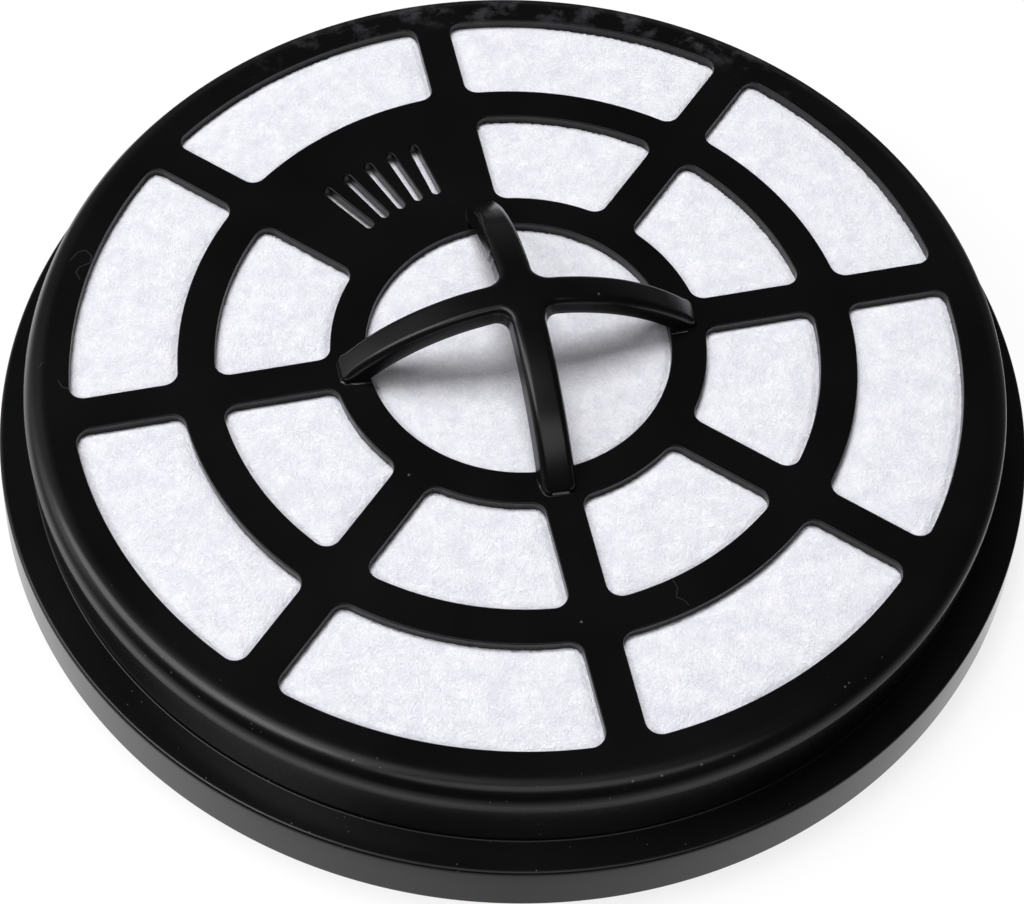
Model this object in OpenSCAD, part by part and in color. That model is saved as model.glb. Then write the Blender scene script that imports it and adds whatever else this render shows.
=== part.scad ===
// Round motor filter of a vacuum cleaner. The frame is one moulding: a flat grille, a wall with a
// rounded top edge, a flange with a skirt, and a domed cross handle over the middle opening. A
// fleece pad fills the frame from below and a flat back grille, snapped into the skirt, holds it.
// The origin is at the centre of the base and +Z points up, through the handle. Millimetres.

/* [Rim] */
// Diameter of the wall that seats in the housing
wall_d = 130.4; // [124:0.1:160]
// Height of the top face above the base
body_h = 18.7; // [15:0.1:24]
// Reach of the skirt's foot past the wall
flange_reach = 4.8; // [4:0.1:8]
// Height of the flange's upper face above the base
flange_h = 7.6; // [6.6:0.1:9]
// Thickness of the flange
flange_t = 1.6; // [1.2:0.1:2.2]
// Wall thickness of the skirt
skirt_t = 1.6; // [1.2:0.1:2]
// Inward lean of the skirt's outer face over its height
skirt_lean = 0.5; // [0:0.1:0.8]
// Radius on the flange's upper outer edge
flange_edge_r = 0.6; // [0.3:0.1:1]
// Thickness of the wall
wall_t = 1.8; // [1.4:0.1:2.4]
// Height of the wall's straight seat above the flange
seat_h = 5.2; // [4:0.1:6]
// Inward lean of the wall above the seat
wall_lean = 0.3; // [0:0.1:0.8]
// Radius on the wall's top edge
rim_r = 2.5; // [1.6:0.1:3]
// Radius in the corner between wall and flange
foot_fillet = 0.4; // [0.2:0.1:0.6]
// Radius inside the wall's top corner
cup_fillet = 0.8; // [0.4:0.1:1.2]

/* [Grille] */
// Thickness of the grille
grille_t = 1.6; // [1.2:0.1:2.4]
// Number of spokes
spokes = 8; // [6:2:12]
// Width of a spoke
spoke_w = 4.9; // [3:0.1:6]
// Width of the grille's outer band, out to the wall's top
outer_band_w = 6.2; // [4:0.1:9]
// Outer radius of the middle ring
mid_ring_r = 44.8; // [42:0.1:48]
// Width of the middle ring
mid_ring_w = 4.9; // [3:0.1:7]
// Outer radius of the inner ring
inner_ring_r = 24.9; // [23:0.1:28]
// Width of the inner ring
inner_ring_w = 4.7; // [3.5:0.1:6]
// Corner radius of the openings
opening_r = 1.9; // [0.8:0.1:2.4]

/* [Vent slots] */
// Spoke after which the closed sector starts, counted from +X
closed_sector = 2; // [0:1:5]
// Number of slots in the closed sector
slot_n = 5; // [2:1:6]
// Width of a slot
slot_w = 1.2; // [0.8:0.1:1.6]
// Length of a slot
slot_len = 9.4; // [5:0.1:10]
// Angle between neighbouring slots
slot_pitch = 5.6; // [4:0.1:6]

/* [Handle] */
// Height of the handle above the grille
handle_h = 11.2; // [8:0.1:16]
// Width of a strap across its top face
strap_w = 4; // [2.6:0.1:4.4]
// Thickness of a strap
strap_t = 2.4; // [2:0.1:3.4]
// Draft of a strap's sides, in degrees
strap_draft = 12; // [4:1:14]
// Radius along a strap's top edges
strap_edge_r = 1; // [0.5:0.1:1.2]
// Radius in the corners where the straps cross
hub_fillet = 2.2; // [1.4:0.1:3]
// Distance from a strap's end to the inner ring's outer edge
strap_inset = 0.9; // [0.4:0.1:1.4]
// Height of a strap's end face above the grille
strap_end_h = 0.6; // [0.3:0.1:1]
// Corner radius of a strap's end, seen from above
strap_end_r = 0.9; // [0.4:0.1:1.2]

/* [Filter pad] */
// Gap between the pad and the wall
pad_gap = 0.3; // [0.2:0.1:0.8]
// Radius on the pad's edges
pad_edge_r = 1; // [0.5:0.1:2]

/* [Back grille] */
// Thickness of the back grille
back_t = 1.8; // [1.4:0.1:2.2]
// Gap between the back grille and the skirt
back_gap = 0.3; // [0.1:0.05:0.4]
// Width of the back grille's spokes
back_spoke_w = 4; // [2.4:0.1:6]
// Number of snap beads inside the skirt
bead_n = 8; // [4:1:12]
// Reach of a bead past the edge of the back grille
bead_bite = 0.4; // [0.2:0.1:0.6]
// Height of a bead
bead_h = 1.4; // [1:0.1:1.8]
// Gap between a bead and the back grille
bead_gap = 0.1; // [0.05:0.05:0.2]
// Angle that a bead spans, in degrees
bead_span = 9; // [4:1:16]

/* [Hidden] */
$fn = 120;
black_plastic = [0.03, 0.03, 0.032];
white_fleece = [0.93, 0.92, 0.95];
// Length by which one shape runs into the next
lap = 0.2;
// Oversize of a cutting shape
cut = 1;
// Step between faces that would otherwise touch at a single point
seam = 0.03;
// Reach of a corner's circle past the sides that it rounds, so that it crosses them
nip = 0.005;

// Outer radii of the rim
wall_foot_r = wall_d / 2;
wall_top_r = wall_foot_r - wall_lean;
skirt_foot_r = wall_foot_r + flange_reach;
skirt_top_r = skirt_foot_r - skirt_lean;
// Radii of the hollow
cup_r = wall_top_r - wall_t;
skirt_in_r = skirt_top_r - skirt_t;
// Levels
grille_z = body_h - grille_t;
flange_z = flange_h - flange_t;
back_z = flange_z - back_t;
// Grille
sector_deg = 360 / spokes;
rim_opening_r = wall_top_r - outer_band_w;
mid_in_r = mid_ring_r - mid_ring_w;
inner_in_r = inner_ring_r - inner_ring_w;
slot_mid_r = (inner_ring_r + mid_in_r) / 2;
// The straps are arcs of one circle, which passes over the centre and through their end edges
strap_end_x = inner_ring_r - strap_inset;
strap_rise = handle_h - strap_end_h;
dome_r = (pow(strap_end_x, 2) + pow(strap_rise, 2)) / (2 * strap_rise);
dome_z = body_h + handle_h - dome_r;
strap_base_w = strap_w + 2 * strap_t * tan(strap_draft);
back_r = skirt_in_r - back_gap;

// One corner of an opening, as the waste outside the corner's circle. c is the circle's centre,
// a and b the points where it meets the two sides.
module corner_waste(c, a, b, r) {
    reach = 3 * (a + b - 2 * c);
    difference() {
        polygon([c, c + 1.5 * (a - c), c + reach, c + 1.5 * (b - c)]);
        translate(c) circle(r + nip);
    }
}

// A corner between an arc of radius r_arc and the edge of a spoke of width w, below the spoke.
// side is 1 at the outer arc and -1 at the inner arc. turn is the spoke's direction.
module arc_corner_waste(r_arc, side, w, turn, r) {
    off = w / 2 + r;
    r_c = r_arc - side * r;
    along = [cos(turn), sin(turn)];
    inward = [sin(turn), -cos(turn)];
    c = sqrt(pow(r_c, 2) - pow(off, 2)) * along + off * inward;
    corner_waste(c, c * r_arc / r_c, c - r * inward, r);
}

// An opening between two arcs and two spokes of width w, centred on +X
module sector_opening(r_in, r_out, w, deg, r) {
    tip = w / 2 / sin(deg / 2);
    far = 2 * r_out * [cos(deg / 2), sin(deg / 2)];
    difference() {
        intersection() {
            difference() {
                circle(r_out);
                circle(r_in);
            }
            polygon([[tip, 0], [tip + far[0], far[1]], [tip + far[0], -far[1]]]);
        }
        for (flip = [0, 1]) mirror([0, flip]) {
            arc_corner_waste(r_out, 1, w, deg / 2, r);
            arc_corner_waste(r_in, -1, w, deg / 2, r);
        }
    }
}

// An opening between two crossing bars and a ring, in the first quadrant
module quadrant_opening(r_out, w, r) {
    h = w / 2;
    difference() {
        intersection() {
            circle(r_out);
            translate([h, h]) square(r_out);
        }
        corner_waste([h + r, h + r], [h, h + r], [h + r, h], r);
        for (flip = [0, 1]) rotate(45) mirror([0, flip])
            arc_corner_waste(r_out, 1, w, 45, r);
    }
}

module slot(len, w) {
    square([len - w, w], center = true);
    for (end = [-1, 1]) translate([end * (len - w) / 2, 0]) circle(w / 2);
}

// The outer and inner openings between spokes of width w. skip is a sector that stays closed.
module web_openings(w, skip) {
    for (i = [0 : spokes - 1]) rotate((i + 0.5) * sector_deg) {
        sector_opening(mid_ring_r, rim_opening_r, w, sector_deg, opening_r);
        if (i != skip) sector_opening(inner_ring_r, mid_in_r, w, sector_deg, opening_r);
    }
}

// The front grille seen from above, out to where the wall's rounded edge starts
module grille_plan() {
    difference() {
        circle(wall_top_r - rim_r + lap);
        circle(inner_in_r);
        web_openings(spoke_w, closed_sector);
        for (k = [0 : slot_n - 1])
            rotate((closed_sector + 0.5) * sector_deg + (k - (slot_n - 1) / 2) * slot_pitch)
                translate([slot_mid_r, 0]) slot(slot_len, slot_w);
    }
}

// The outside of the rim, from the axis outwards: wall, rounded top edge, flange and skirt
module rim_outside() {
    wall_edge_z = body_h - rim_r;
    square([wall_top_r - rim_r, body_h]);
    translate([wall_top_r - rim_r, wall_edge_z]) circle(rim_r);
    polygon([[0, 0], [wall_foot_r, 0], [wall_foot_r, flange_h + seat_h],
        [wall_top_r, wall_edge_z], [0, wall_edge_z]]);
    polygon([[0, 0], [skirt_foot_r, 0], [skirt_top_r, flange_h - flange_edge_r],
        [skirt_top_r - flange_edge_r, flange_h], [0, flange_h]]);
    translate([skirt_top_r - flange_edge_r, flange_h - flange_edge_r]) circle(flange_edge_r);
    translate([wall_foot_r, flange_h]) difference() {
        translate([-lap, -lap]) square(foot_fillet + lap);
        translate([foot_fillet, foot_fillet]) circle(foot_fillet);
    }
}

// The hollow of the rim: the cup over the pad and the wider room inside the skirt
module rim_hollow() {
    translate([0, -cut]) square([cup_r - cup_fillet, grille_z + cut]);
    translate([0, -cut]) square([cup_r, grille_z - cup_fillet + cut]);
    translate([cup_r - cup_fillet, grille_z - cup_fillet]) circle(cup_fillet);
    translate([0, -cut]) square([skirt_in_r, flange_z + cut]);
}

module rim() {
    rotate_extrude() difference() {
        rim_outside();
        rim_hollow();
        square([rim_opening_r + lap, body_h + cut]);
    }
}

// A strap's section: the top face is at the dome's radius, the sides lean out by the draft and
// the top edges are rounded
module strap_section() {
    e = strap_edge_r;
    c = [dome_r - e, strap_w / 2 + e * tan(strap_draft) - e / cos(strap_draft)];
    difference() {
        polygon([[dome_r - strap_t, -strap_base_w / 2], [dome_r - strap_t, strap_base_w / 2],
            [dome_r, strap_w / 2], [dome_r, -strap_w / 2]]);
        for (flip = [0, 1]) mirror([0, flip])
            corner_waste(c, c + [e, 0], c + e * [sin(strap_draft), cos(strap_draft)], e);
    }
}

// One strap, an arch along X whose ends stand on the inner ring
module strap() {
    half_deg = asin(strap_end_x / dome_r) + 3;
    intersection() {
        translate([0, 0, dome_z]) rotate([90, 0, 0]) rotate([0, 0, 90 - half_deg])
            rotate_extrude(angle = 2 * half_deg) strap_section();
        translate([0, 0, body_h - lap]) linear_extrude(handle_h + cut) strap_plan();
    }
}

// The room that a strap may fill, seen from above: its ends are straight, with rounded corners
module strap_plan() {
    c = [strap_end_x, strap_w / 2 + strap_end_h * tan(strap_draft)] - strap_end_r * [1, 1];
    difference() {
        square([2 * strap_end_x, 2 * strap_base_w], center = true);
        for (flip_x = [0, 1]) mirror([flip_x, 0]) for (flip_y = [0, 1]) mirror([0, flip_y])
            difference() {
                translate(c) square(2 * strap_base_w);
                translate(c) circle(strap_end_r + nip);
            }
    }
}

// The web that rounds the four corners where the straps cross: a square of dome shell with a flat
// top, less four drafted cones whose upper rims are rounded like the straps' edges. It lies a
// little inside the straps' own faces, so that the faces cross at an angle.
module hub() {
    reach = strap_w / 2 + hub_fillet;
    r = hub_fillet + seam;
    top = dome_z + sqrt(pow(dome_r, 2) - pow(reach, 2)) - 2 * seam;
    difference() {
        intersection() {
            translate([0, 0, dome_z - 2 * seam]) difference() {
                sphere(dome_r);
                sphere(dome_r - strap_t);
            }
            translate([-reach, -reach, dome_z]) cube([2 * reach, 2 * reach, top - dome_z]);
        }
        for (turn = [0 : 90 : 270]) rotate(turn) translate([reach, reach, top]) {
            translate([0, 0, -2 * strap_t]) cylinder(h = 4 * strap_t,
                r1 = r - 2 * strap_t * tan(strap_draft), r2 = r + 2 * strap_t * tan(strap_draft));
            rotate_extrude() difference() {
                translate([0, -strap_edge_r]) square([r + strap_edge_r, strap_t]);
                translate([r + strap_edge_r, -strap_edge_r]) circle(strap_edge_r);
            }
        }
    }
}

// A bead inside the skirt, with sloping faces, on which the back grille is caught
module snap_bead() {
    reach = back_gap + bead_bite;
    z = back_z - bead_gap;
    rotate(-bead_span / 2) rotate_extrude(angle = bead_span)
        polygon([[skirt_in_r + lap, z], [skirt_in_r, z], [skirt_in_r - reach, z - bead_h * 0.4],
            [skirt_in_r, z - bead_h], [skirt_in_r + lap, z - bead_h]]);
}

module frame() {
    color(black_plastic) {
        rim();
        translate([0, 0, grille_z]) linear_extrude(grille_t) grille_plan();
        strap();
        translate([0, 0, -seam]) rotate(90) strap();
        hub();
        for (k = [0 : bead_n - 1]) rotate((k + 0.5) * 360 / bead_n) snap_bead();
    }
}

// The pad fills the cup from the back grille up to the underside of the front grille
module filter_pad() {
    r = cup_r - pad_gap;
    h = grille_z - flange_z;
    color(white_fleece) translate([0, 0, flange_z]) rotate_extrude() {
        square([r - pad_edge_r, h]);
        translate([0, pad_edge_r]) square([r, h - 2 * pad_edge_r]);
        for (z = [pad_edge_r, h - pad_edge_r]) translate([r - pad_edge_r, z]) circle(pad_edge_r);
    }
}

// The back grille repeats the front one's rings, with plain cross bars over the middle
module back_grille() {
    color(black_plastic) translate([0, 0, back_z]) linear_extrude(back_t) difference() {
        circle(back_r);
        web_openings(back_spoke_w, -1);
        for (turn = [0 : 90 : 270]) rotate(turn)
            quadrant_opening(inner_in_r, back_spoke_w, opening_r);
    }
}

frame();
filter_pad();
back_grille();
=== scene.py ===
# The looks of a round motor filter: a black moulded frame with a handle over a white fleece pad.
# Lengths are in millimetres, as in the part's source, and are multiplied by MM where Blender
# takes them. Z points up and the part stands on z = 0.
import random
from math import acos, asin, atan2, cos, degrees, hypot, pi, radians, sin, sqrt, tan

import bpy
import numpy as np
from mathutils import Matrix, Vector, noise
from mathutils.geometry import delaunay_2d_cdt


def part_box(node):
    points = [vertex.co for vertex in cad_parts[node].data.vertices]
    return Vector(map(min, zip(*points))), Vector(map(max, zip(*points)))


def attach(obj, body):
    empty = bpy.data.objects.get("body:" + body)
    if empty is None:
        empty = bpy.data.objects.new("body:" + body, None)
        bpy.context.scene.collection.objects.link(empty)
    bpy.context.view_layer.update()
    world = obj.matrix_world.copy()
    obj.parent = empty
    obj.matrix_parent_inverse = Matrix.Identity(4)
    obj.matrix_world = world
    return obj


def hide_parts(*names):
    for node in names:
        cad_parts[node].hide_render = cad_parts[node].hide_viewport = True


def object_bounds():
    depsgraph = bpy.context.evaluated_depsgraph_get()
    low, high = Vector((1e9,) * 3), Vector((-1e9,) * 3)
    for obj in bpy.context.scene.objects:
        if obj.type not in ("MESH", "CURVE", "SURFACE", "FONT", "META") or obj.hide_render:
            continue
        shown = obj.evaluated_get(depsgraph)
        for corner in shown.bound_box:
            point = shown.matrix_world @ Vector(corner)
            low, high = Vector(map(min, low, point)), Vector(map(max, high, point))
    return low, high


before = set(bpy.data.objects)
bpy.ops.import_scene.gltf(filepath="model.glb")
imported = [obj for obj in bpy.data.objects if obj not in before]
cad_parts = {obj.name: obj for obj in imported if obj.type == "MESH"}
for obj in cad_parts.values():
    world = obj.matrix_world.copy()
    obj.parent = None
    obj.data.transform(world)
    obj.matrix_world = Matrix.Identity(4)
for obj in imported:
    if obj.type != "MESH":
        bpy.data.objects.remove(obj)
cad_box = [list(corner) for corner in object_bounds()]
MM = 0.001

# Camera
# A short telephoto looks down on the part from the front left, turned a little about its own
# line of sight. It aims at a point on the plane of the grille, in front of the middle.
aim = Vector((-4.67, -16.617, 18.7))
view_azimuth = -15.53
view_elevation = 56.95
view_roll = -3.44
view_distance = 260.4
lens_mm = 71.85


def camera_axes(azimuth, elevation, roll):
    """The camera's right, up and backward directions."""
    a, e, r = radians(azimuth), radians(elevation), radians(roll)
    back = Vector((sin(a) * cos(e), -cos(a) * cos(e), sin(e)))
    level = Vector((cos(a), sin(a), 0))
    up = back.cross(level)
    return cos(r) * level - sin(r) * up, sin(r) * level + cos(r) * up, back


camera = bpy.data.objects.new("camera", bpy.data.cameras.new("camera"))
bpy.context.scene.collection.objects.link(camera)
bpy.context.scene.camera = camera
camera.data.lens = lens_mm
camera.data.sensor_width = 36
camera.data.clip_start = 0.01
axes = camera_axes(view_azimuth, view_elevation, view_roll)
camera.matrix_world = Matrix.Translation((aim + view_distance * axes[2]) * MM) @ Matrix(
    axes).transposed().to_4x4()

# Studio
# A white table, a large soft lamp overhead to the left, a smaller one at the right front and
# a dim room. The table and the room's lower part are white to the camera.
scene = bpy.context.scene
scene.view_settings.view_transform = "Standard"


def node_maker(tree):
    """A function that adds a node with its settings and input values or links."""
    def add(kind, inputs=None, **settings):
        node = tree.nodes.new(kind)
        for key, value in settings.items():
            setattr(node, key, value)
        for key, value in (inputs or {}).items():
            if isinstance(value, bpy.types.NodeSocket):
                tree.links.new(value, node.inputs[key])
            else:
                node.inputs[key].default_value = value
        return node
    return add


def new_material(name):
    """An empty node material and its node maker."""
    made = bpy.data.materials.new(name)
    made.use_nodes = True
    made.node_tree.nodes.clear()
    return made, node_maker(made.node_tree)


room_light = 0.1
far_glow = 0.12
world = bpy.data.worlds.new("room")
scene.world = world
world.use_nodes = True
world.node_tree.nodes.clear()
add = node_maker(world.node_tree)
direction = add("ShaderNodeTexCoord").outputs["Generated"]


def soft_patch(azimuth, elevation, spread):
    """A round soft patch in the room, from 1 in its middle down to 0."""
    t, e = radians(azimuth), radians(elevation)
    toward = add("ShaderNodeVectorMath", {0: direction, 1: (cos(e) * cos(t), cos(e) * sin(t), sin(e))},
                 operation="DOT_PRODUCT").outputs["Value"]
    angle = add("ShaderNodeMath", {0: toward}, operation="ARCCOSINE").outputs[0]
    angle = add("ShaderNodeMath", {0: angle, 1: radians(spread)}, operation="DIVIDE").outputs[0]
    angle = add("ShaderNodeMath", {0: angle, 1: 2.0}, operation="POWER").outputs[0]
    angle = add("ShaderNodeMath", {0: angle, 1: -1.0}, operation="MULTIPLY").outputs[0]
    return add("ShaderNodeMath", {0: angle}, operation="EXPONENT").outputs[0]


split = add("ShaderNodeSeparateXYZ", {0: direction})
low = add("ShaderNodeMapRange", {"Value": split.outputs["Z"], "From Min": 0.2, "From Max": 0.55,
                                 "To Min": 1.0, "To Max": 0.0})
far = add("ShaderNodeMapRange", {"Value": split.outputs["Y"], "From Min": 0.0, "From Max": 0.7})
glow = add("ShaderNodeMath", {0: low.outputs[0], 1: far.outputs[0]}, operation="MULTIPLY")
mirrored = add("ShaderNodeMapRange", {"Value": glow.outputs[0], "To Min": 0.03, "To Max": far_glow})
for azimuth, elevation, spread, power in ((160, 17, 12, 1.2), (155, 2, 18, 0.45), (137, 38, 15, 0.4),
                                         (-90, 77, 13, 0.55), (-170, 67, 12, 2.0)):
    mirrored = add("ShaderNodeMath", {0: soft_patch(azimuth, elevation, spread), 1: power,
                                      2: mirrored.outputs[0]}, operation="MULTIPLY_ADD")
path = add("ShaderNodeLightPath")
dim = add("ShaderNodeMix", {0: path.outputs["Is Glossy Ray"], 2: room_light,
                            3: mirrored.outputs[0]}, data_type="FLOAT")
seen = add("ShaderNodeMath", {0: path.outputs["Is Camera Ray"],
                              1: path.outputs["Is Transmission Ray"]}, operation="MAXIMUM")
lit = add("ShaderNodeMix", {0: seen.outputs[0], 2: dim.outputs[0], 3: 1.0}, data_type="FLOAT")
background = add("ShaderNodeBackground", {"Color": (1, 1, 1, 1), "Strength": lit.outputs[0]})
add("ShaderNodeOutputWorld", {"Surface": background.outputs[0]})

table_size = 6000
table_mesh = bpy.data.meshes.new("table")
edge = table_size * MM / 2
table_mesh.from_pydata([(-edge, -edge, 0), (edge, -edge, 0), (edge, edge, 0), (-edge, edge, 0)],
                       [], [(0, 1, 2, 3)])
table = bpy.data.objects.new("table", table_mesh)
scene.collection.objects.link(table)
white_paper, add = new_material("white_paper")
grain = add("ShaderNodeTexNoise", {"Scale": 900.0, "Detail": 4.0},)
tone = add("ShaderNodeMapRange", {"Value": grain.outputs["Fac"], "To Min": 0.92, "To Max": 0.96})
paper = add("ShaderNodeBsdfPrincipled", {"Base Color": tone.outputs[0], "Roughness": 0.8})
place = add("ShaderNodeTexCoord").outputs["Object"]
from_middle = add("ShaderNodeVectorMath", {0: place}, operation="LENGTH").outputs["Value"]
brightest = 1.5


def grey_ramp(factor, stops):
    """A value that follows these stops, each a place from 0 to 1 and a value."""
    made = add("ShaderNodeValToRGB", {0: factor})
    elements = made.color_ramp.elements
    while len(elements) < len(stops):
        elements.new(0.5)
    for element, (stop, value) in zip(elements, stops):
        element.position = stop
        element.color = (value / brightest, value / brightest, value / brightest, 1)
    return add("ShaderNodeMath", {0: made.outputs[0], 1: brightest}, operation="MULTIPLY").outputs[0]


def share_along(axis):
    """How far a point lies this way from the middle, from -1 to 1."""
    along = add("ShaderNodeVectorMath", {0: place, 1: tuple(axis)}, operation="DOT_PRODUCT")
    return add("ShaderNodeMath", {0: along.outputs["Value"], 1: from_middle},
               operation="DIVIDE").outputs[0]


# What the part's gloss sees of the table is painted light: a glow brightest to the left and right, dimmer
# in front, dark behind the part, halved a few millimetres past the foot and fading further out.
right_share = share_along(axes[0])
turned_share = add("ShaderNodeMapRange", {"Value": right_share, "From Min": -1.0}).outputs[0]
near = grey_ramp(turned_share, ((0.0, 1.15), (0.115, 0.95), (0.25, 0.8), (0.5, 0.54), (0.75, 0.7),
                                (0.885, 0.85), (0.935, 0.9), (0.97, 1.4), (1.0, 1.5)))
close = add("ShaderNodeMapRange", {"Value": from_middle, "From Min": 0.07, "From Max": 0.09})
close = grey_ramp(close.outputs[0], ((0.0, 1.0), (0.175, 1.0), (0.3, 0.5), (1.0, 0.5)))
near = add("ShaderNodeMath", {0: near, 1: close}, operation="MULTIPLY").outputs[0]
outer = grey_ramp(turned_share, ((0.0, 0.85), (0.02, 1.25), (0.11, 1.3), (0.185, 1.25), (0.27, 1.15),
                                 (0.475, 0.78), (0.685, 0.8), (0.8, 0.72), (0.9, 0.45), (1.0, 0.1)))
away = add("ShaderNodeMapRange", {"Value": from_middle, "From Min": 0.08, "From Max": 0.4})
fade = grey_ramp(away.outputs[0], ((0.0, 0.8), (0.025, 1.0), (0.04, 1.0), (0.063, 0.88), (0.094, 0.7),
                                   (0.156, 0.56), (0.28, 0.42), (0.41, 0.35), (1.0, 0.3)))
outer = add("ShaderNodeMath", {0: outer, 1: fade}, operation="MULTIPLY")
past_foot = add("ShaderNodeMapRange", {"Value": from_middle, "From Min": 0.077, "From Max": 0.084})
mirrored = add("ShaderNodeMix", {0: past_foot.outputs[0], 2: near, 3: outer.outputs[0]},
               data_type="FLOAT")
behind_share = share_along((-axes[2][0], -axes[2][1], 0))
behind = add("ShaderNodeMapRange", {"Value": behind_share, "From Min": 0.2, "From Max": 0.4,
                                    "To Min": 1.0, "To Max": 0.1})
mirrored = add("ShaderNodeMath", {0: mirrored.outputs[0], 1: behind.outputs[0]}, operation="MULTIPLY")
path = add("ShaderNodeLightPath")
strength = add("ShaderNodeMix", {0: path.outputs["Is Glossy Ray"], 2: 1.0, 3: mirrored.outputs[0]},
               data_type="FLOAT")
glow = add("ShaderNodeEmission", {"Color": (1, 1, 1, 1), "Strength": strength.outputs[0]})
seen = add("ShaderNodeMath", {0: path.outputs["Is Camera Ray"],
                              1: path.outputs["Is Transmission Ray"]}, operation="MAXIMUM")
share = add("ShaderNodeMath", {0: seen.outputs[0], 1: 0.8}, operation="MULTIPLY")
share = add("ShaderNodeMath", {0: share.outputs[0], 1: path.outputs["Is Glossy Ray"]},
            operation="MAXIMUM")
mixed = add("ShaderNodeMixShader", {0: share.outputs[0], 1: paper.outputs[0], 2: glow.outputs[0]})
add("ShaderNodeOutputMaterial", {"Surface": mixed.outputs[0]})
table_mesh.materials.append(white_paper)


def soft_lamp(name, azimuth, tilt, distance, size, power, turn=0):
    """An oval lamp that faces the part. tilt is its angle from straight above, size is its width
    across and its length along the tilt, and turn is how far it is turned in its own plane."""
    a, t, u = radians(azimuth), radians(tilt), radians(turn)
    back = Vector((sin(t) * cos(a), sin(t) * sin(a), cos(t)))
    level = Vector((-sin(a), cos(a), 0))
    rising = back.cross(level)
    data = bpy.data.lights.new(name, "AREA")
    data.shape = "ELLIPSE"
    data.size, data.size_y = size[0] * MM, size[1] * MM
    data.energy = power
    lamp = bpy.data.objects.new(name, data)
    lamp.matrix_world = Matrix.Translation(back * distance * MM) @ Matrix((
        cos(u) * level + sin(u) * rising, cos(u) * rising - sin(u) * level, back)).transposed().to_4x4()
    scene.collection.objects.link(lamp)
    return lamp


soft_lamp("side_lamp", 182, 45, 1000, (1060, 370), 3.3, 40)
soft_lamp("front_lamp", -93, 38, 1000, (1000, 330), 1.0)
window_lamp = soft_lamp("window_lamp", 108, 21, 2000, (1100, 1100), 36.5)
window_lamp.visible_glossy = False

# Frame
# One black moulding in a satin plastic: a lathe-turned rim with a flange and skirt, the flat
# grille with its openings, and the domed cross handle that stands on the grille's inner ring.
black = None
foot_r = cad_box[1][0] / MM
handle_top = cad_box[1][2] / MM
top_z = 18.7
grille_z = 17.1
wall_top_r = 64.9
wall_foot_r = 65.2
rim_r = 3.4
wall_round_z = top_z - rim_r
seat_top_z = 12.8
flange_z = 7.6
flange_under_z = 6.0
skirt_top_r = 69.5
skirt_in_r = 67.9
cup_r = 63.1
cup_fillet = 0.8
turn_steps = 360


class Shell:
    """Points and faces of one closed skin, with a normal for every corner of every face."""

    def __init__(self):
        self.points, self.faces, self.normals = [], [], []

    def add(self, points):
        start = len(self.points)
        self.points += [tuple(p) for p in points]
        return list(range(start, len(self.points)))

    def face(self, corners, normals):
        """Adds a face, turned so that it looks along its normals."""
        p = [Vector(self.points[i]) for i in corners[:3]]
        looks = (p[1] - p[0]).cross(p[2] - p[0])
        if looks.dot(sum((Vector(n) for n in normals), Vector())) < 0:
            corners, normals = corners[::-1], normals[::-1]
        self.faces.append(corners)
        self.normals += [tuple(n) for n in normals]

    def band(self, rows, normals, closed=True):
        """Quads between neighbouring rows of points. Rows hold the points' numbers."""
        for (a, b), (na, nb) in zip(zip(rows, rows[1:]), zip(normals, normals[1:])):
            if a is b:
                continue
            count = len(a)
            for i in range(count if closed else count - 1):
                j = (i + 1) % count
                self.face([a[i], a[j], b[j], b[i]], [na[i], na[j], nb[j], nb[i]])

    def fill(self, loops, normal, inner=(), height=None):
        """Triangles inside the first loop and outside the others. inner holds extra points in
        plan, height gives their z, and normal gives the normal at a point."""
        flat = [Vector(self.points[i][:2]) for loop in loops for i in loop]
        numbers = [i for loop in loops for i in loop]
        edges, start = [], 0
        for loop in loops:
            edges += [(start + k, start + (k + 1) % len(loop)) for k in range(len(loop))]
            start += len(loop)
        made = delaunay_2d_cdt(flat + [Vector(p) for p in inner], edges, [], 1, 1e-7)
        places, triangles, sources = made[0], made[2], made[3]
        middles = np.array([sum((places[k] for k in t), Vector((0, 0))) / 3 for t in triangles])
        inside = np.zeros(len(triangles), bool)
        for a, b in edges:
            (ax, ay), (bx, by) = flat[a], flat[b]
            spans = (middles[:, 1] < ay) != (middles[:, 1] < by)
            if spans.any():
                inside ^= spans & (middles[:, 0] < ax + (middles[:, 1] - ay) * (bx - ax) / (by - ay))
        lookup = {}
        for triangle, kept in zip(triangles, inside):
            if not kept:
                continue
            for k in triangle:
                if k in lookup:
                    continue
                if sources[k] and sources[k][0] < len(numbers):
                    lookup[k] = numbers[sources[k][0]]
                else:
                    x, y = places[k]
                    lookup[k] = self.add([(x, y, height(x, y))])[0]
            corners = [lookup[k] for k in triangle]
            self.face(corners, [normal(self.points[i]) for i in corners])

    def object(self, name, material):
        mesh = bpy.data.meshes.new(name)
        mesh.from_pydata([(x * MM, y * MM, z * MM) for x, y, z in self.points], [], self.faces)
        mesh.shade_smooth()
        mesh.normals_split_custom_set(self.normals)
        mesh.materials.append(material)
        made = bpy.data.objects.new(name, mesh)
        scene.collection.objects.link(made)
        return made


def arc(centre, radius, start, end, steps):
    """Points and outward directions along an arc in the plane. A negative radius makes a
    hollow arc, whose directions point to its centre."""
    turns = [radians(start + (end - start) * k / steps) for k in range(steps + 1)]
    return [((centre[0] + radius * cos(t), centre[1] + radius * sin(t)), (cos(t), sin(t)))
            for t in turns]


def outline(*arcs):
    """A closed outline of arcs joined by straight lines, without doubled points."""
    found = [step for part in arcs for step in part]
    kept = []
    for step in found:
        if not kept or hypot(step[0][0] - kept[-1][0][0], step[0][1] - kept[-1][0][1]) > 1e-4:
            kept.append(step)
    if hypot(kept[0][0][0] - kept[-1][0][0], kept[0][0][1] - kept[-1][0][1]) < 1e-4:
        kept.pop()
    return kept


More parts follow.
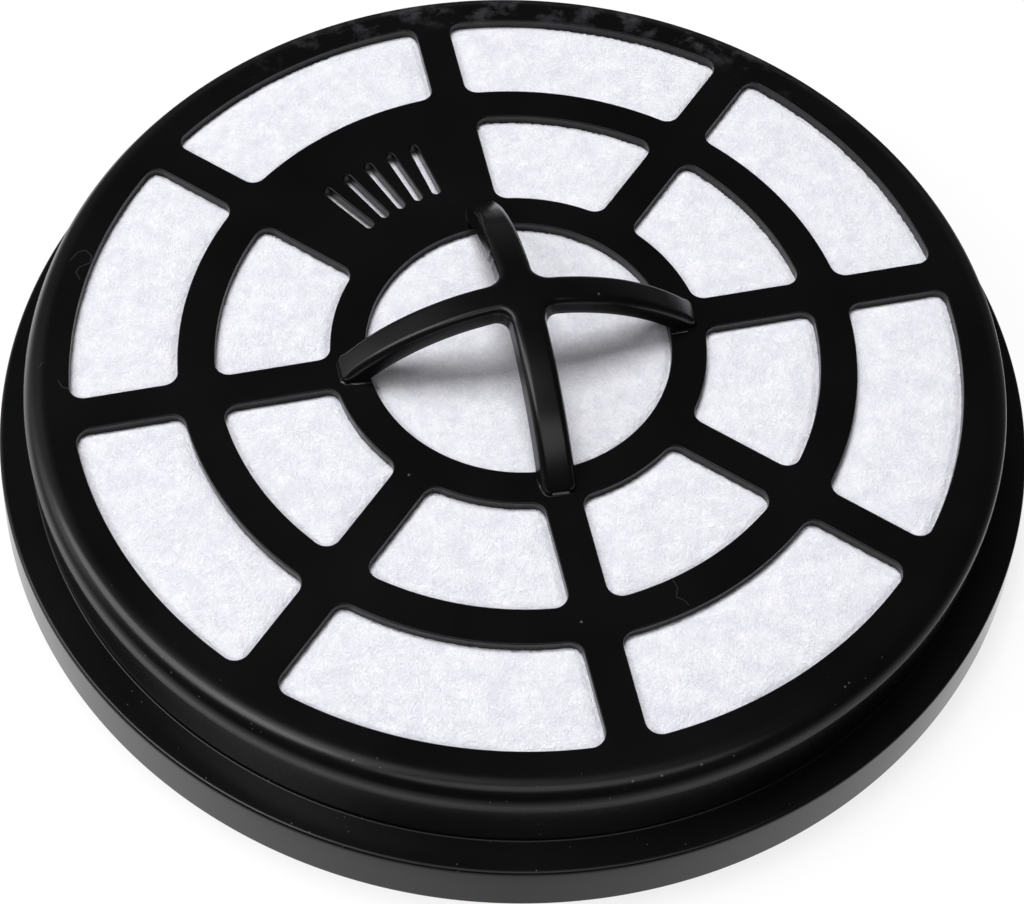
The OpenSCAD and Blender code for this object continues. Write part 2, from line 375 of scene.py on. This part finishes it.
def turned(steps, angle):
    """An outline turned about the middle."""
    c, s = cos(radians(angle)), sin(radians(angle))
    spin = lambda p: (c * p[0] - s * p[1], s * p[0] + c * p[1])
    return [(spin(p), spin(n)) for p, n in steps]


def sector(r_in, r_out, spoke_w, corner_r, half=22.5):
    """The outline of an opening between two rings and two spokes, centred on +X."""
    off = spoke_w / 2 + corner_r
    corners = []
    for r in (r_out - corner_r, r_in + corner_r):
        along = sqrt(r * r - off * off)
        h = radians(half)
        corners.append((along * cos(h) + off * sin(h), along * sin(h) - off * cos(h)))
    (xo, yo), (xi, yi) = corners
    ao, ai = degrees(atan2(yo, xo)), degrees(atan2(yi, xi))
    return outline(arc((0, 0), r_out, -ao, ao, 30), arc((xo, yo), corner_r, ao, 90 + half, 10),
                   arc((xi, yi), corner_r, 90 + half, 180 + ai, 10),
                   arc((0, 0), -r_in, 180 + ai, 180 - ai, 20),
                   arc((xi, -yi), corner_r, 180 - ai, 270 - half, 10),
                   arc((xo, -yo), corner_r, 270 - half, 360 - ao, 10))


def slot(middle_r, length, width):
    """The outline of a slot along +X with round ends."""
    reach = (length - width) / 2
    return outline(arc((middle_r + reach, 0), width / 2, -90, 90, 10),
                   arc((middle_r - reach, 0), width / 2, 90, 270, 10))


def cut_opening(shell, steps, top, bottom, top_r, bottom_r):
    """The wall of an opening through a plate, with rounded edges. Returns the loops of points
    where the wall meets the plate's upper and lower face."""
    rows, normals = [], []
    for level, r, turns in ((top, top_r, range(90, -1, -18)), (bottom, bottom_r, range(0, -91, -30))):
        for turn in turns:
            s, c = sin(radians(turn)), cos(radians(turn))
            z = level - r + r * s if level == top else level + r + r * s
            rows.append(shell.add((p[0] + r * (1 - c) * n[0], p[1] + r * (1 - c) * n[1], z)
                                  for p, n in steps))
            normals.append([(-c * n[0], -c * n[1], s) for p, n in steps])
    shell.band(rows, normals)
    return rows[0], rows[-1]


def profile(corners):
    """Points and outward normals along a path of straight lines with rounded corners. Each
    corner is a radius, a height and a rounding."""
    found = []
    for k, (r, z, rounding) in enumerate(corners):
        here = Vector((r, z))
        if k in (0, len(corners) - 1) or not rounding:
            for other in (k - 1, k + 1):
                if 0 <= other < len(corners):
                    step = (here - Vector(corners[other][:2])) * (1 if other < k else -1)
                    step.normalize()
                    found.append((here, Vector((-step.y, step.x))))
            continue
        before = (here - Vector(corners[k - 1][:2])).normalized()
        after = (Vector(corners[k + 1][:2]) - here).normalized()
        bend = atan2(before.x * after.y - before.y * after.x, before.dot(after))
        back = rounding * tan(abs(bend) / 2)
        side = 1 if bend > 0 else -1
        start = here - before * back
        normal = Vector((-before.y, before.x))
        centre = start + normal * rounding * side
        steps = max(2, round(degrees(abs(bend)) / 10))
        for i in range(steps + 1):
            t = bend * i / steps
            n = Vector((normal.x * cos(t) - normal.y * sin(t), normal.x * sin(t) + normal.y * cos(t)))
            found.append((centre - n * rounding * side, n))
    return found


bead_half_span = 4.5


def bead_share(turn):
    """How far out of the skirt's inner wall a snap bead stands at this angle, from 0 to 1."""
    return min(1, max(0, bead_half_span + 0.5 - abs(turn % 45 - 22.5)))


bead_reach = 0.7
bead_bottom_z, bead_peak_z, bead_top_z = 2.7, 3.54, 4.1
rim_centre_r = 61.52
seam_z = wall_round_z + 0.15
rim_path = profile([
    (rim_centre_r, top_z, 0), (rim_centre_r + rim_r, top_z, rim_r),
    (wall_foot_r, flange_z, 0.3), (skirt_top_r, flange_z, 0.6),
    (foot_r + 0.3, 0, 0.2), (skirt_in_r, 0, 0.2), (skirt_in_r, bead_bottom_z, 0),
    (skirt_in_r, bead_peak_z, 0), (skirt_in_r, bead_top_z, 0), (skirt_in_r, flange_under_z, 0.3),
    (cup_r, flange_under_z, 0.3), (cup_r, grille_z, cup_fillet), (cup_r - cup_fillet, grille_z, 0)])

body = Shell()
rows, normals, last = [], [], None
for place, n in rim_path:
    row, row_normals = [], []
    for k in range(turn_steps):
        turn = 2 * pi * k / turn_steps
        r = place.x
        if abs(place.y - bead_peak_z) < 1e-6:
            r -= bead_reach * bead_share(degrees(turn))
        row.append((r * cos(turn), r * sin(turn), place.y))
        row_normals.append(Vector((n.x * cos(turn), n.x * sin(turn), n.y)))
    if last is None or (place - last).length > 1e-6:
        rows.append(body.add(row))
    else:
        rows.append(rows[-1])
    normals.append(row_normals)
    last = place
for low in range(len(rows) - 1):
    z_low, z_high = (body.points[rows[k][0]][2] for k in (low, low + 1))
    if bead_peak_z not in (round(z_low, 6), round(z_high, 6)) or z_low == z_high:
        continue
    for k in range(turn_steps):
        a, b = (Vector(body.points[rows[low + j][k]]) for j in (0, 1))
        turn = 2 * pi * k / turn_steps
        along = b - a
        across = Vector((-sin(turn), cos(turn), 0))
        n = along.cross(across).normalized()
        if n.dot(Vector((cos(turn), sin(turn), 0))) > 0:
            n = -n
        normals[low][k] = normals[low + 1][k] = n
body.band(rows, normals)
top_ring, under_ring = rows[0], rows[-1]

spoke_w = 4.9
opening_r = 1.9
rim_opening_r = 58.7
mid_ring = (39.9, 44.8)
inner_ring = (20.2, 24.9)
closed_sector = 2
edge_top_r, edge_bottom_r = 0.22, 0.12
holes = [outline(arc((0, 0), inner_ring[0], 0, 360, 160))]
for k in range(8):
    angle = 22.5 + 45 * k
    holes.append(turned(sector(mid_ring[1], rim_opening_r, spoke_w, opening_r), angle))
    if k != closed_sector:
        holes.append(turned(sector(inner_ring[1], mid_ring[0], spoke_w, opening_r), angle))
slot_n, slot_w, slot_len, slot_pitch = 5, 1.2, 9.4, 5.6
slot_r = (inner_ring[1] + mid_ring[0]) / 2
for k in range(slot_n):
    angle = 22.5 + 45 * closed_sector + (k - (slot_n - 1) / 2) * slot_pitch
    holes.append(turned(slot(slot_r, slot_len, slot_w), angle))
loops = [cut_opening(body, steps, top_z, grille_z, edge_top_r, edge_bottom_r) for steps in holes]
upper_loops, lower_loops = [list(side) for side in zip(*loops)]
body.fill([under_ring] + lower_loops, lambda p: (0, 0, -1))

# The handle is worked out from its outline seen from above, a cross with rounded corners. Each
# ring of points follows the outline at an offset from it and a depth under the dome.
strap_w, strap_t, strap_draft, strap_edge_r = 4.0, 2.4, 12, 1.0
hub_fillet, strap_end_x, strap_end_h, strap_end_r = 2.2, 24.0, 0.6, 0.9
foot_fillet = 0.22
rise = handle_top - top_z - strap_end_h
dome_r = (strap_end_x ** 2 + rise ** 2) / (2 * rise)
dome_z = handle_top - dome_r


def dome(x, y, depth):
    """Height of the dome at a point, this deep under its outer face."""
    return dome_z + sqrt(max((dome_r - depth) ** 2 - x * x - y * y, 0))


def depth_at(x, y, z):
    return dome_r - sqrt(x * x + y * y + (z - dome_z) ** 2)


def dome_normal(p):
    return Vector((p[0], p[1], p[2] - dome_z)).normalized()


landing_r = sqrt((dome_r - strap_t) ** 2 - (top_z - dome_z) ** 2)
half = strap_w / 2
slope = tan(radians(strap_draft))
half_base = half + strap_t * slope
landing_x = sqrt(landing_r ** 2 - half_base ** 2)
corner_x = strap_end_x - strap_end_r
xs = [half + hub_fillet + (landing_x - half - hub_fillet) * k / 36 for k in range(37)]
xs += [landing_x + (corner_x - landing_x) * k / 8 for k in range(1, 8)]
arm = [((x, -half), (0, -1)) for x in xs]
arm += arc((corner_x, -half + strap_end_r), strap_end_r, -90, 0, 8)
arm += arc((corner_x, half - strap_end_r), strap_end_r, 0, 90, 8)
arm += [((x, half), (0, 1)) for x in reversed(xs)]
arm += arc((half + hub_fillet, half + hub_fillet), -hub_fillet, 90, 0, 10)[1:-1]
cross = [step for quarter in range(4) for step in turned(arm, 90 * quarter)]
per_arm = len(arm)
first_land, last_land = 36, per_arm - 1 - 9 - 36

edge_rounding = 0.16


def side_base(p, n):
    """Depth at which the strap's leaning side reaches its inner face or the grille."""
    depth = 0
    for _ in range(20):
        x, y = p[0] + n[0] * depth * slope, p[1] + n[1] * depth * slope
        depth = min(strap_t, depth_at(x, y, top_z))
    return depth


def strap_section(p, n, foot):
    """Points from the top of the strap down its side. foot goes from -1, where the lower edge
    is rounded inwards, to 1, where the side flares out onto the grille."""
    base = side_base(p, n)
    e = min(strap_edge_r, 0.75 * base)
    middle = e * slope - e / cos(radians(strap_draft))
    bend = max(abs(foot), 0.06) * min(edge_rounding, 0.45 * base)
    flash = 0
    if p[0] < -1.9 and 4.4 < p[1] < 9.4:
        flash = 0.35 * max(0, noise.noise(Vector((4.2, p[1] * 1.9, 0.3))))
    found = []

    def put(offset, depth=None, z=None):
        if len(found) > 3:
            offset += flash
        x, y = p[0] + n[0] * offset, p[1] + n[1] * offset
        found.append(Vector((x, y, dome(x, y, depth) if z is None else z)))

    for turn in (90, 74, 58, 42, 26, 10):
        put(middle + e * cos(radians(turn)), e * (1 - sin(radians(turn))))
    upper = e * (1 - sin(radians(10)))
    if foot < 0:
        for share in (0.33, 0.67, 1):
            depth = upper + (base - bend - upper) * share
            put(depth * slope, depth)
        for turn in (30, 60, 90):
            t = radians(turn)
            put((base - bend) * slope - bend * (1 - cos(t)), base - bend + bend * sin(t))
    else:
        x, y = p[0] + n[0] * upper * slope, p[1] + n[1] * upper * slope
        z_upper = dome(x, y, upper)
        low = top_z + min(bend, 0.8 * (z_upper - top_z))
        for share in (0.33, 0.67, 1):
            z = z_upper + (low - z_upper) * share
            depth = upper + (base - upper) * (z_upper - z) / max(z_upper - top_z, 1e-6)
            put(depth * slope, z=z)
        side = base * slope
        for turn in (30, 60, 90):
            t = radians(turn)
            put(side + bend * (1 - cos(t)), z=low - (low - top_z) * sin(t))
    return found


columns = []
for k, (p, n) in enumerate(cross):
    place = k % per_arm
    reach = max(abs(p[0]), abs(p[1]))
    foot = max(-1, min(1, (reach - landing_x) / 0.9))
    columns.append(strap_section(p, n, foot))
grid = np.array([[tuple(q) for q in column] for column in columns])
around = np.roll(grid, -1, 0) - np.roll(grid, 1, 0)
down = np.empty_like(grid)
down[:, 1:-1] = grid[:, 2:] - grid[:, :-2]
down[:, 0], down[:, -1] = grid[:, 1] - grid[:, 0], grid[:, -1] - grid[:, -2]
facing = np.cross(around, down)
facing /= np.maximum(np.linalg.norm(facing, axis=2, keepdims=True), 1e-12)
if np.sum(facing[0, 6] * [*cross[0][1], 0]) < 0:
    facing = -facing
strap_rows, strap_normals = [], []
for row in range(grid.shape[1]):
    strap_rows.append(body.add(map(tuple, grid[:, row])))
    strap_normals.append([Vector(v) for v in facing[:, row]])
strap_normals[0] = [dome_normal(q) for q in grid[:, 0]]
body.band(strap_rows, strap_normals)


def on_cross(x, y, room):
    """Whether a point lies inside the cross by at least this much."""
    x, y = abs(x), abs(y)
    fillet = half + hub_fillet
    if min(x, y) < half - room:
        return max(x, y) < strap_end_x - room
    return max(x, y) < fillet and hypot(fillet - x, fillet - y) > hub_fillet + room


spacing = 0.6
count = int(strap_end_x / spacing)
spots = [(i * spacing, j * spacing) for i in range(-count, count + 1) for j in range(-count, count + 1)
         if on_cross(i * spacing, j * spacing, 0.5)]
body.fill([strap_rows[0]], dome_normal, spots, lambda x, y: dome(x, y, 0))

under, feet = [], []
for quarter in range(4):
    start = quarter * per_arm
    first, last = start + first_land, start + last_land
    a, b = (body.points[strap_rows[-1][k]] for k in (first, last))
    spread = atan2(b[1], b[0]) - atan2(a[1], a[0])
    spread = (spread + pi) % (2 * pi) - pi
    turn = atan2(a[1], a[0])
    arch = body.add((landing_r * cos(turn + spread * k / 8), landing_r * sin(turn + spread * k / 8),
                     top_z) for k in range(1, 8))
    under += strap_rows[-1][start:first + 1] + arch + strap_rows[-1][last:start + per_arm]
    feet.append(strap_rows[-1][first:last + 1] + arch[::-1])
spots = [p for p in spots if hypot(*p) < landing_r - 0.5]
body.fill([under], lambda q: -dome_normal(q), spots, lambda x, y: dome(x, y, strap_t))
body.fill([top_ring] + upper_loops + feet, lambda p: (0, 0, 1))

grain_group = bpy.data.node_groups.new("moulded_grain", "ShaderNodeTree")
for name, kind, way in (("Scale", "NodeSocketFloat", "INPUT"), ("Wear", "NodeSocketFloat", "INPUT"),
                        ("Shade", "NodeSocketFloat", "OUTPUT"), ("Rough", "NodeSocketFloat", "OUTPUT"),
                        ("Height", "NodeSocketFloat", "OUTPUT")):
    grain_group.interface.new_socket(name, in_out=way, socket_type=kind)
add = node_maker(grain_group)
given = add("NodeGroupInput")
place = add("ShaderNodeTexCoord").outputs["Object"]
fine = add("ShaderNodeMath", {0: given.outputs["Scale"], 1: 3800.0}, operation="MULTIPLY")
broad = add("ShaderNodeMath", {0: given.outputs["Scale"], 1: 60.0}, operation="MULTIPLY")
pebble = add("ShaderNodeTexNoise", {"Vector": place, "Scale": fine.outputs[0], "Detail": 2.0})
cloud = add("ShaderNodeTexNoise", {"Vector": place, "Scale": broad.outputs[0], "Detail": 5.0})
smear = add("ShaderNodeMapRange", {"Value": cloud.outputs["Fac"], "From Min": 0.3, "From Max": 0.7})
rough = add("ShaderNodeMath", {0: smear.outputs[0], 1: given.outputs["Wear"]}, operation="MULTIPLY")
add("NodeGroupOutput", {"Shade": smear.outputs[0], "Rough": rough.outputs[0],
                        "Height": pebble.outputs["Fac"]})


def black_plastic(name, dark, light, roughness, marks_and_painted_light=None):
    """Satin black plastic with a faint grain and a cloudy gloss. marks_and_painted_light gives the share
    of pale at each place: lint and dust, and painted highlights, glints and reflection."""
    made, add = new_material(name)
    grain = add("ShaderNodeGroup", {}, node_tree=grain_group)
    grain.inputs["Scale"].default_value = 1.0
    grain.inputs["Wear"].default_value = 0.05
    colour = add("ShaderNodeMix", {0: grain.outputs["Shade"], 6: (*dark, 1), 7: (*light, 1)},
                 data_type="RGBA")
    if marks_and_painted_light:
        colour = add("ShaderNodeMix", {0: marks_and_painted_light(add), 6: colour.outputs[2],
                                       7: (0.6, 0.61, 0.66, 1)}, data_type="RGBA")
    gloss = add("ShaderNodeMath", {0: grain.outputs["Rough"], 1: roughness}, operation="ADD")
    bump = add("ShaderNodeBump", {"Height": grain.outputs["Height"], "Strength": 0.12,
                                  "Distance": 0.00002})
    plastic = add("ShaderNodeBsdfPrincipled", {
        "Base Color": colour.outputs[2], "Roughness": gloss.outputs[0], "IOR": 1.46,
        "Normal": bump.outputs[0]})
    add("ShaderNodeOutputMaterial", {"Surface": plastic.outputs[0]})
    return made


# Marks on the frame: a share of pale, a half width, and the points of a line or of single specks.
# Pale lines where the feet stand on the grille: burrs, with a painted highlight along them.
feet_burrs_and_highlights = (
    (0.3, 0.13, ((-24.1, -1.7, 18.8), (-22.2, -2.4, 18.8), (-20.1, -2.5, 18.8))),
    (0.5, 0.22, ((-1.0, -24.0, 19.0), (0.9, -24.0, 18.9))),
    (0.2, 0.1, ((-2.4, -22.3, 18.8), (-2.4, -23.1, 18.8), (-2.0, -23.7, 18.9))),
    (0.4, 0.13, ((20.1, -2.6, 18.8), (22.4, -2.6, 18.8))))
lint = (
    (0.028, 0.1, ((-56.2, 25.2, 18.7), (-55.0, 26.4, 18.7), (-54.0, 26.5, 18.7), (-53.3, 25.3, 18.7), (-53.7, 24.2, 18.7), (-55.1, 23.8, 18.7), (-55.7, 23.0, 18.7), (-55.3, 21.7, 18.7))),
    (0.028, 0.1, ((-62.8, 8.3, 18.6), (-62.4, 7.9, 18.6), (-61.6, 9.0, 18.6), (-60.3, 9.1, 18.6), (-59.2, 8.4, 18.6), (-58.9, 7.5, 18.6))),
    (0.028, 0.1, ((-59.8, 5.8, 18.7), (-59.4, 4.6, 18.7), (-58.7, 4.3, 18.7))),
    (0.025, 0.08, ((10.6, -38.8, 18.7), (10.9, -40.0, 18.7), (10.4, -41.2, 18.7), (11.2, -41.8, 18.7),
                  (11.6, -42.6, 18.7))))
specks = ((-32.0, -54.3, 18.3), (-41.9, -50.0, 7.6), (-1.8, -42.2, 18.7), (-11.6, -64.1, 9.3),
          (-0.8, -63.4, 18.1), (2.7, -63.4, 18.1), (7.6, -63.0, 18.1), (9.9, -1.2, 28.3),
          (-18.2, -17.4, 18.7), (27.1, -56.9, 18.3), (27.7, -56.5, 18.3))


def frame_marks_and_painted_light(add):
    """The pale share of the frame's surface: burrs along the feet with a painted highlight, lint, specks
    of dust, painted glints of dust on the front of the rim, and a painted reflection of the bright
    background as a haze on the far side of the rim."""
    place = add("ShaderNodeTexCoord").outputs["Object"]
    flat = add("ShaderNodeVectorMath", {0: place, 1: (1, 1, 0)}, operation="MULTIPLY")
    from_axis = add("ShaderNodeVectorMath", {0: flat.outputs[0]}, operation="LENGTH").outputs["Value"]
    far_away = add("ShaderNodeVectorMath", {0: place, 1: (0.268, 0.9635, 0)}, operation="DOT_PRODUCT")
    # Painted reflection: a pale haze on the rim's top, only on the side away from the camera, for the
    # bright background seen there at a grazing angle.
    far_rim_reflection = add("ShaderNodeTexNoise", {"Vector": place, "Scale": 170.0, "Detail": 5.0,
                                       "Roughness": 0.65})
    far_rim_reflection = add("ShaderNodeMapRange", {"Value": far_rim_reflection.outputs["Fac"], "From Min": 0.5,
                                       "From Max": 0.8, "To Max": 0.13})
    on_rim = add("ShaderNodeMapRange", {"Value": from_axis, "From Min": 0.0575, "From Max": 0.0605})
    at_far = add("ShaderNodeMapRange", {"Value": far_away.outputs["Value"], "From Min": 0.042,
                                        "From Max": 0.056})
    far_rim_reflection = add("ShaderNodeMath", {0: far_rim_reflection.outputs[0], 1: on_rim.outputs[0]}, operation="MULTIPLY")
    far_rim_reflection = add("ShaderNodeMath", {0: far_rim_reflection.outputs[0], 1: at_far.outputs[0]}, operation="MULTIPLY")
    height = add("ShaderNodeSeparateXYZ", {0: place}).outputs["Z"]
    on_top = add("ShaderNodeMapRange", {"Value": height, "From Min": 0.0172, "From Max": 0.0185})
    far_rim_reflection = add("ShaderNodeMath", {0: far_rim_reflection.outputs[0], 1: on_top.outputs[0]}, operation="MULTIPLY")
    # Pale dots on the front of the rim's rounding, toward the camera: dust specks, painted as glints
    # where the highlight band falls.
    cells = add("ShaderNodeTexVoronoi", {"Vector": place, "Scale": 1100.0})
    dot = add("ShaderNodeMapRange", {"Value": cells.outputs["Distance"], "From Min": 0.07,
                                     "From Max": 0.13, "To Min": 0.1, "To Max": 0.0})
    chosen = add("ShaderNodeSeparateColor", {0: cells.outputs["Color"]})
    chosen = add("ShaderNodeMath", {0: chosen.outputs[0], 1: 0.8}, operation="GREATER_THAN")
    at_front = add("ShaderNodeMapRange", {"Value": far_away.outputs["Value"], "From Min": -0.03,
                                          "From Max": -0.05})
    on_edge = add("ShaderNodeMapRange", {"Value": from_axis, "From Min": 0.0605, "From Max": 0.063})
    dust_and_glints = add("ShaderNodeMath", {0: dot.outputs[0], 1: chosen.outputs[0]}, operation="MULTIPLY")
    dust_and_glints = add("ShaderNodeMath", {0: dust_and_glints.outputs[0], 1: at_front.outputs[0]}, operation="MULTIPLY")
    dust_and_glints = add("ShaderNodeMath", {0: dust_and_glints.outputs[0], 1: on_edge.outputs[0]}, operation="MULTIPLY")
    pale = add("ShaderNodeMath", {0: far_rim_reflection.outputs[0], 1: dust_and_glints.outputs[0]}, operation="MAXIMUM")
    for share, width, points in feet_burrs_and_highlights + lint:
        for a, b in zip(points, points[1:]):
            a, b = Vector(a) * MM, Vector(b) * MM
            step = b - a
            from_a = add("ShaderNodeVectorMath", {0: place, 1: a}, operation="SUBTRACT")
            along = add("ShaderNodeVectorMath", {0: from_a.outputs[0], 1: step / step.length_squared},
                        operation="DOT_PRODUCT")
            along = add("ShaderNodeMapRange", {"Value": along.outputs["Value"]})
            nearest = add("ShaderNodeVectorMath", {0: step, "Scale": along.outputs[0]},
                          operation="SCALE")
            gap = add("ShaderNodeVectorMath", {0: from_a.outputs[0], 1: nearest.outputs[0]},
                      operation="DISTANCE")
            mark = add("ShaderNodeMapRange", {"Value": gap.outputs["Value"], "From Min": width * MM / 2,
                                              "From Max": width * MM, "To Min": share, "To Max": 0.0})
            pale = add("ShaderNodeMath", {0: pale.outputs[0], 1: mark.outputs[0]}, operation="MAXIMUM")
    for spot in specks:
        gap = add("ShaderNodeVectorMath", {0: place, 1: Vector(spot) * MM}, operation="DISTANCE")
        mark = add("ShaderNodeMapRange", {"Value": gap.outputs["Value"], "From Min": 0.0001,
                                          "From Max": 0.0002, "To Min": 0.12, "To Max": 0.0})
        pale = add("ShaderNodeMath", {0: pale.outputs[0], 1: mark.outputs[0]}, operation="MAXIMUM")
    return pale.outputs[0]


black = black_plastic("satin_black", (0.0023, 0.0023, 0.0025), (0.0038, 0.0038, 0.0041), 0.2, frame_marks_and_painted_light)
front = body.object("front_frame", black)
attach(front, "root")
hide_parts("frame")

# Filter pad
# A round pad of white needled fleece. It fills the cup behind the grille, and its soft face
# presses against the bars from behind.
pad_low, pad_high = (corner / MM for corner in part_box("filter_pad"))
pad_r = pad_high.x
pad_spacing = 0.62
pad_edge = 1.0
press_gap = 0.07
swell = 0.2
bulge = 0.35
bar_press = 0.38
wall_reach = 1.0


def open_depth(x, y):
    """How far a point lies inside the nearest opening of the grille, or 0 behind a bar."""
    r, turn = hypot(x, y), atan2(y, x)
    if r < inner_ring[0]:
        return inner_ring[0] - r
    nearest = round(turn / (pi / 4)) * pi / 4
    beside = abs(r * sin(turn - nearest)) - spoke_w / 2
    if mid_ring[1] < r < rim_opening_r:
        return max(0, min(r - mid_ring[1], rim_opening_r - r, beside))
    if inner_ring[1] < r < mid_ring[0] and int((turn % (2 * pi)) // (pi / 4)) != closed_sector:
        return max(0, min(r - inner_ring[1], mid_ring[0] - r, beside))
    return 0


def fleece_height(x, y, lift=bar_press):
    """Height of the pad's face: pressed flat behind the bars, a little swollen between them. The
    bars press it down by the lift."""
    depth = open_depth(x, y)
    share, near_wall = min(1, depth / 3.5), min(1, depth / wall_reach)
    lumps = noise.noise(Vector((x * 0.16, y * 0.16, 3.1))) * 0.10
    tufts = noise.noise(Vector((x * 0.75, y * 0.75, 7.7))) * 0.05
    hairs = noise.noise(Vector((x * 2.1, y * 2.1, 1.9))) * 0.03
    puff = swell * share * share * (3 - 2 * share) + bulge * near_wall * near_wall * (3 - 2 * near_wall)
    if depth > 0:
        puff += lift
    return grille_z - press_gap - 0.1 + puff + (lumps + tufts + hairs) * (0.35 + 0.65 * share)


fleece = Shell()
edge_steps = 220
pad_rows, pad_normals = [], []
face_r = pad_r - pad_edge
for offset, depth, turn in [(pad_edge * sin(radians(t)), pad_edge * (1 - cos(radians(t))), t)
                            for t in range(0, 91, 15)]:
    row = []
    for k in range(edge_steps):
        a = 2 * pi * k / edge_steps
        x, y = (face_r + offset) * cos(a), (face_r + offset) * sin(a)
        row.append((x, y, fleece_height(face_r * cos(a), face_r * sin(a)) - depth))
    pad_rows.append(fleece.add(row))
    pad_normals.append([Vector((cos(2 * pi * k / edge_steps) * sin(radians(turn)),
                                sin(2 * pi * k / edge_steps) * sin(radians(turn)),
                                cos(radians(turn)))) for k in range(edge_steps)])
for turn in range(90, 181, 15):
    row = []
    for k in range(edge_steps):
        a = 2 * pi * k / edge_steps
        r = face_r + pad_edge * sin(radians(turn))
        row.append((r * cos(a), r * sin(a), pad_low.z + pad_edge * (1 + cos(radians(turn)))))
    pad_rows.append(fleece.add(row))
    pad_normals.append([Vector((cos(2 * pi * k / edge_steps) * sin(radians(turn)),
                                sin(2 * pi * k / edge_steps) * sin(radians(turn)),
                                cos(radians(turn)))) for k in range(edge_steps)])
fleece.band(pad_rows, pad_normals)
rng = random.Random(5)
reach = int(face_r / pad_spacing) + 1
spots = []
for i in range(-reach, reach + 1):
    for j in range(-reach, reach + 1):
        x = (i + 0.5 * (j % 2)) * pad_spacing + rng.uniform(-0.15, 0.15) * pad_spacing
        y = j * pad_spacing * 0.9 + rng.uniform(-0.15, 0.15) * pad_spacing
        if hypot(x, y) < face_r - 0.6 * pad_spacing:
            spots.append((x, y))
for steps in holes:
    spots += [(p[0] + side * n[0], p[1] + side * n[1]) for p, n in steps for side in (-0.03, 0.03)]


def fleece_normal(q):
    step = 0.2
    x, y = q[0], q[1]
    dx = fleece_height(x + step, y, 0) - fleece_height(x - step, y, 0)
    dy = fleece_height(x, y + step, 0) - fleece_height(x, y - step, 0)
    return Vector((-dx, -dy, 2 * step)).normalized()


known_normals = {}


def kept_normal(q):
    if q not in known_normals:
        known_normals[q] = fleece_normal(q)
    return known_normals[q]


fleece.fill([pad_rows[0]], kept_normal, spots, fleece_height)
fleece.fill([pad_rows[-1]], lambda q: Vector((0, 0, -1)))

fleece_white, add = new_material("white_fleece")
place = add("ShaderNodeTexCoord").outputs["Object"]
clumps = add("ShaderNodeTexNoise", {"Vector": place, "Scale": 330.0, "Detail": 7.0, "Roughness": 0.7})
strands = add("ShaderNodeTexNoise", {"Vector": place, "Scale": 1500.0, "Detail": 4.0,
                                     "Distortion": 2.5})
both = add("ShaderNodeMath", {0: clumps.outputs["Fac"], 1: strands.outputs["Fac"]},
           operation="ADD")
tone = add("ShaderNodeMapRange", {"Value": both.outputs[0], "From Min": 0.8, "From Max": 1.2})
colour = add("ShaderNodeMix", {0: tone.outputs[0], 6: (0.74, 0.735, 0.82, 1),
                               7: (0.9, 0.9, 0.94, 1)}, data_type="RGBA")
bump = add("ShaderNodeBump", {"Height": both.outputs[0], "Strength": 0.8, "Distance": 0.0003})
soft = add("ShaderNodeMapRange", {"Value": clumps.outputs["Fac"], "To Min": 0.85, "To Max": 1.0})
wool = add("ShaderNodeBsdfPrincipled", {
    "Base Color": colour.outputs[2], "Roughness": soft.outputs[0], "Sheen Weight": 0.25,
    "Sheen Roughness": 0.5, "Specular IOR Level": 0.2, "Normal": bump.outputs[0]})
add("ShaderNodeOutputMaterial", {"Surface": wool.outputs[0]})
pad = fleece.object("fleece_pad", fleece_white)
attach(pad, "root")
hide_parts("filter_pad")

# Back grille
# A flat black grille that snaps into the skirt under the beads and holds the pad. It is moulded
# in the same plastic as the frame.
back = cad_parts["back_grille"]
back_black = black_plastic("satin_black_back", (0.004, 0.004, 0.0045), (0.007, 0.007, 0.0075), 0.3)
back.data.materials.clear()
back.data.materials.append(back_black)
